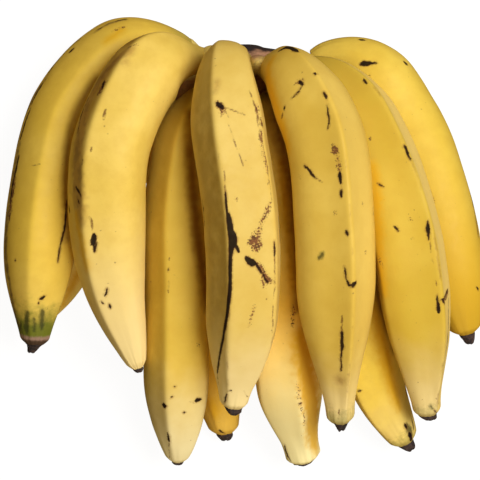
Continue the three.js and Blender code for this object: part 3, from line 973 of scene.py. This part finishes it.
def ink_marks(n, rag, fine):
    """The black marks, brown at their edges. Returns the share of ink."""
    halo = n.times(n.mark("ink", 1.5, 0.1, 0.45, fine), n.patches(3.2, 0.35, 0.6))
    n.lay(halo, "halo")
    ink = n.mark("ink", 0.34, -0.34, 0.97, fine)
    deep = n.mark("ink", 0.1, -0.9, 1, n.times(rag, 0.5))
    n.lay(ink, n.mix(deep, paint("ink_edge"), paint("ink")))
    return ink


def peel(name, look):
    n = Nodes(name)
    rag = n.jitter(1.6, 2.6, 3, 0.65)
    fine = n.jitter(0.75, 1.3, 3, 0.65)
    ripe_tones(n, look, rag)
    face_tones(n, look)
    painted_gap_shade = soft_marks(n, rag, fine)
    scab = scabs(n)
    ink = ink_marks(n, rag, fine)
    n.surface("Base Color", n.colour)
    worn = n.math("MAXIMUM", ink, scab)
    waxy = n.patches(5, 0.3, 0.7, 0.44, 0.56)
    n.surface("Roughness", n.math("MULTIPLY_ADD", n.math("MAXIMUM", worn, painted_gap_shade), 0.35, waxy))
    n.surface("Specular IOR Level", look["gloss"])
    pores = n.times(n.noise(0.9, 2, 0.6), 0.35)
    swells = n.math("MULTIPLY_ADD", n.noise(3.5), 0.7, pores)
    n.bump(n.math("SUBTRACT", swells, n.times(worn, 0.5)), 0.22, 0.4)
    return n.material


def dry_flower_material():
    n = Nodes("dry_flower")
    shrivelled = n.patches(2.5, 0.35, 0.65, detail=3, rough=0.6)
    n.surface("Base Color", n.mix(shrivelled, paint("dry"), paint("dry_light")))
    n.surface("Roughness", n.patches(1.5, 0.3, 0.7, 0.75, 0.95))
    n.bump(n.noise(1.1, 3, 0.7), 0.6, 0.6)
    return n.material


def crown_material():
    """Woody and brown, yellow where the stalks leave it, dark on its dried cut face and under it."""
    n = Nodes("crown")
    where = n.add("ShaderNodeSeparateXYZ", {"Vector": n.add("ShaderNodeTexCoord").outputs["Object"]})
    wavy = n.jitter(9, 0.012)
    height = n.math("ADD", where.outputs["Z"], wavy)
    back = n.math("ADD", where.outputs["Y"], wavy)
    across = n.math("ADD", where.outputs["X"], n.jitter(7, 0.03, 3, 0.6))
    n.colour = n.mix(n.patches(16, 0.35, 0.65, detail=3), paint("wood"), paint("dark_wood"))
    n.lay(n.fade(height, 0.036, 0.056), "stub")
    fibre = n.patches(1.8, 0.45, 0.7, detail=3, rough=0.6)
    n.lay(n.times(fibre, 0.4), "fibre")
    n.lay(n.fade(height, 0.016, 0.006), "underside")
    left = n.times(n.fade(across, -0.020, -0.028), n.fade(height, 0.014, 0.026))
    right = n.fade(across, -0.014, -0.004)
    for side, start, end, name in (
        (left, 0.108, 0.116, "stub"), (right, 0.119, 0.125, "cut_rim"), (right, 0.128, 0.1315, "cut"),
    ):
        n.lay(n.times(n.fade(back, start, end), side), name)
    n.surface("Base Color", n.colour)
    n.surface("Roughness", n.patches(4, 0.3, 0.7, 0.6, 0.85))
    n.bump(n.noise(2.2, 3, 0.7), 0.5, 0.8)
    return n.material


# ----------------------------------------
# Pieces.
def flower_piece(name, finger, seed):
    """The dried flower: a ragged collar, flush with the peel, round a shrivelled nub."""
    line, _ = spline(finger["spine"])
    tip = line[-1]
    axis = tip - line[-TIP_POINTS]
    axis /= np.linalg.norm(axis)
    side = np.cross(axis, NOT_ALONG)
    side /= np.linalg.norm(side)
    up = np.cross(axis, side)
    end, tall, cone = finger["end"], finger["flower"], finger["cone"]
    rises = np.concatenate([np.array(NUB["collar_depths"]) / tall, np.linspace(0, 1, NUB["rings"])])
    heights = rises * tall
    flare = (1 - np.clip(rises, 0, 1) ** (1 / cone)) ** cone
    collar = NUB["collar"] + NUB["collar_slope"] * heights
    widths = np.where(rises < 0, collar, NUB["point"] + NUB["flare"] * flare)
    widths[-1] *= NUB["blunt"]
    theta = np.arange(NUB["sides"]) * 2 * np.pi / NUB["sides"]
    rim = np.stack([np.cos(theta), np.sin(theta), 0 * theta], -1)
    across = side * np.cos(theta)[:, None] + up * np.sin(theta)[:, None]
    rings = []
    for h, w in zip(heights, widths):
        rise = max(h, 0) / tall
        crinkle = 1.0
        for fineness, climb, depth, more, first in CRINKLES:
            wrinkles = noise(rim * fineness + [0, 0, h * climb], 1.0, seed + first)
            crinkle = crinkle + (depth + more * rise) * wrinkles
        ragged = h + NUB["ragged"] * max(h, 0) * noise(rim * 1.8 + 7, 1.0, seed + 9)
        centre = tip + np.array([finger["lean"], 0, 0]) * rise
        rings.append(centre + axis * ragged[:, None] + across * (end * w * crinkle)[:, None])
    hollow = rings[-1].mean(0) + axis * NUB["hollow"] * tall
    verts = np.vstack(rings + [hollow, tip + axis * heights[0]]) - MIDDLE
    return mesh_object(name, verts, *tube_faces(len(rings), NUB["sides"], turned=True))


def crown_piece():
    """The crown: the CAD's stalks and pad, with webs of tissue between them, all grown together."""
    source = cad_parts["crown"]
    shape = bmesh.new()
    shape.from_mesh(source.data)
    shape.transform(source.matrix_world)
    for place, reach in WEBS:
        at = Matrix.Translation(Vector((np.array(place) - MIDDLE) * MM))
        size = Matrix.Diagonal(Vector([r * MM for r in reach] + [1]))
        bmesh.ops.create_icosphere(shape, subdivisions=3, radius=1, matrix=at @ size)
    # The back edge slopes down behind the right-hand stalks.
    for vert in shape.verts:
        x, y = vert.co.x / MM + MIDDLE[0], vert.co.y / MM + MIDDLE[1]
        drop = BACK_EDGE["drop"] * smooth((x - BACK_EDGE["x"]) / BACK_EDGE["run"])
        behind = smooth((y - BACK_EDGE["y"]) / BACK_EDGE["run"])
        vert.co.y += (BACK_EDGE["lift"] - drop) * MM * behind
    mesh = bpy.data.meshes.new("crown_skin")
    shape.to_mesh(mesh)
    shape.free()
    obj = add_object("crown_skin", mesh)
    remesh = obj.modifiers.new("remesh", "REMESH")
    remesh.mode = "VOXEL"
    remesh.voxel_size = CROWN_VOXEL * MM
    remesh.use_smooth_shade = True
    relax = obj.modifiers.new("relax", "SMOOTH")
    relax.factor = 0.5
    relax.iterations = CROWN_SMOOTHING
    depsgraph = bpy.context.evaluated_depsgraph_get()
    grown = bpy.data.meshes.new_from_object(obj.evaluated_get(depsgraph))
    obj.modifiers.clear()
    obj.data = grown
    obj.data.name = "crown_skin"
    return obj


dry = dry_flower_material()
for row_name, fingers, first_seed, (rings, sides) in ROWS:
    for index, finger in enumerate(fingers):
        key = f"{row_name}_{index + 1}"
        node = f"{row_name}_finger_{index + 1}"
        seed = SEED_PER_FINGER * index + first_seed
        piece, verts, upward = finger_piece(f"{key}_plantain", finger, seed, rings, sides)
        marks = Marks(verts, seed + 20)
        photo_marks(marks, upward, MARKS[key])
        stray_marks(marks, upward, rings, sides, np.random.default_rng(seed))
        marks.attach(piece)
        piece.data.materials.append(peel(f"peel_{key}", {**LOOK, **LOOKS[key]}))
        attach(piece, "root")
        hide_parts(node)
        bud = flower_piece(f"{key}_flower", finger, seed + 3)
        bud.data.materials.append(dry)
        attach(bud, "root")
        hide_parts(f"{row_name}_flower_tip_{index + 1}")

crown = crown_piece()
crown.data.materials.append(crown_material())
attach(crown, "root")
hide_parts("crown")


# ----------------------------------------
# Floor, light and camera.
def floor(half):
    """A plain white floor that lights nothing and shows in no reflection."""
    mesh = bpy.data.meshes.new("floor")
    corners = [(-half, -half, 0), (half, -half, 0), (half, half, 0), (-half, half, 0)]
    mesh.from_pydata(corners, [], [(0, 1, 2, 3)])
    obj = add_object("floor", mesh)
    n = Nodes("floor")
    n.surface("Base Color", (0.12, 0.12, 0.12, 1))
    n.surface("Emission Color", (1, 1, 1, 1))
    n.surface("Emission Strength", 0.94)
    n.surface("Roughness", 0.9)
    n.surface("Specular IOR Level", 0.1)
    obj.data.materials.append(n.material)
    obj.visible_diffuse = False
    obj.visible_glossy = False


def area_light(name, position, size, power, colour):
    data = bpy.data.lights.new(name, "AREA")
    data.shape = "DISK"
    data.size = size
    data.energy = power
    data.color = colour
    lamp = add_object(name, data)
    lamp.location = position
    lamp.rotation_mode = "QUATERNION"
    lamp.rotation_quaternion = (Vector(LIT_POINT) - lamp.location).to_track_quat("-Z", "Y")


floor(FLOOR_REACH)
world = bpy.data.worlds.new("studio")
bpy.context.scene.world = world
world.use_nodes = True
surround = world.node_tree.nodes["Background"]
surround.inputs["Color"].default_value = SURROUND_COLOUR
surround.inputs["Strength"].default_value = SURROUND_STRENGTH
for name, settings in LAMPS.items():
    area_light(name, *settings)

view = bpy.context.scene.view_settings
view.view_transform = "Standard"
view.look = "None"
view.exposure = 0.0

camera = bpy.data.cameras.new("camera")
camera.sensor_width = SENSOR
camera.lens = SENSOR * EYE_HEIGHT / (2 * PHOTO_MIDDLE * MM_PER_PIXEL)
camera.clip_start = 0.01
camera.clip_end = 20
eye = add_object("camera", camera)
eye.location = (-MIDDLE[0] * MM, -MIDDLE[1] * MM, EYE_HEIGHT * MM)
bpy.context.scene.camera = eye
